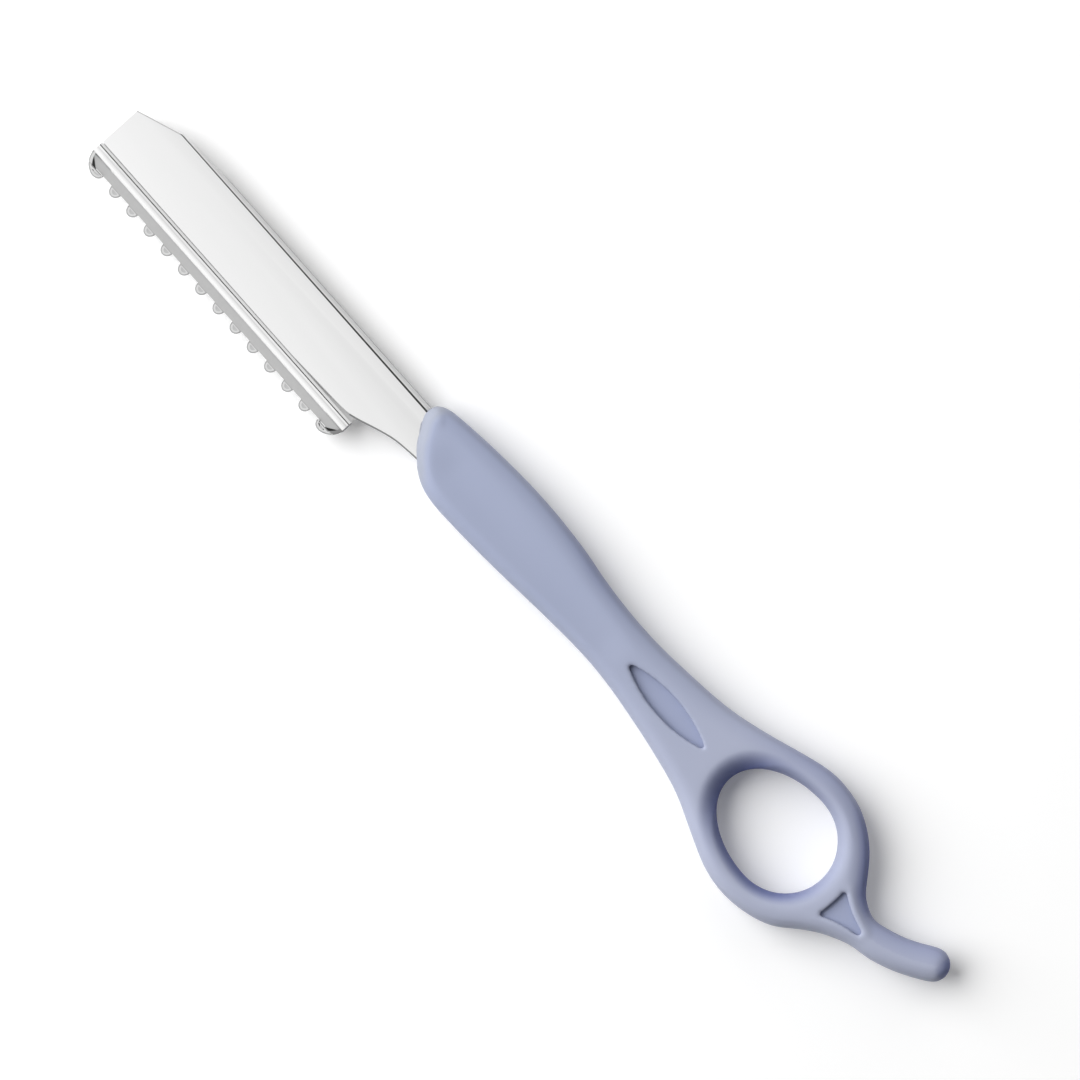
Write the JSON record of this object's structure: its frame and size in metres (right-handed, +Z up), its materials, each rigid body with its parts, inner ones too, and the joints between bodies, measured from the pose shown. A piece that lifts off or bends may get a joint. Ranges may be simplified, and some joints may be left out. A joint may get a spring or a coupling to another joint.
{
  "type": "hair thinning razor",
  "caption": "Straight thinning razor: moulded handle with finger ring and curved tang, folded steel head, sliding blade and a comb guard whose round teeth stand past the edge.",
  "frame": {"origin": "under the middle of the whole tool, on the plane of the grip's flat underside", "axes": "+X along the tool to the toe of the head, +Y to the cutting edge, +Z up out of the front face"},
  "size_m": [0.2132, 0.0294, 0.009],
  "materials": {
    "skin": "soft-touch lavender",
    "core": "moulded, slightly darker lavender",
    "holder_steel": "polished stainless sheet",
    "guard_steel": "polished stainless strip",
    "blade_steel": "ground",
    "inner_steel": "plain"
  },
  "bodies": {
    "handle": {"grip_skin": "skin", "handle_core": "core", "blade_holder": "holder_steel", "tang_spacer": "inner_steel", "tang_pin_front": "inner_steel", "tang_pin_rear": "inner_steel"},
    "blade": {"blade": "blade_steel"},
    "guard": {"comb_guard": "guard_steel"}
  },
  "joints": [
    {"name": "guard_slide", "type": "slide", "parent": "handle", "child": "guard", "axis": [1, 0, 0], "range_m": [0, 0.069]},
    {"name": "blade_slide", "type": "slide", "parent": "handle", "child": "blade", "axis": [1, 0, 0], "range_m": [0, 0.069]}
  ]
}
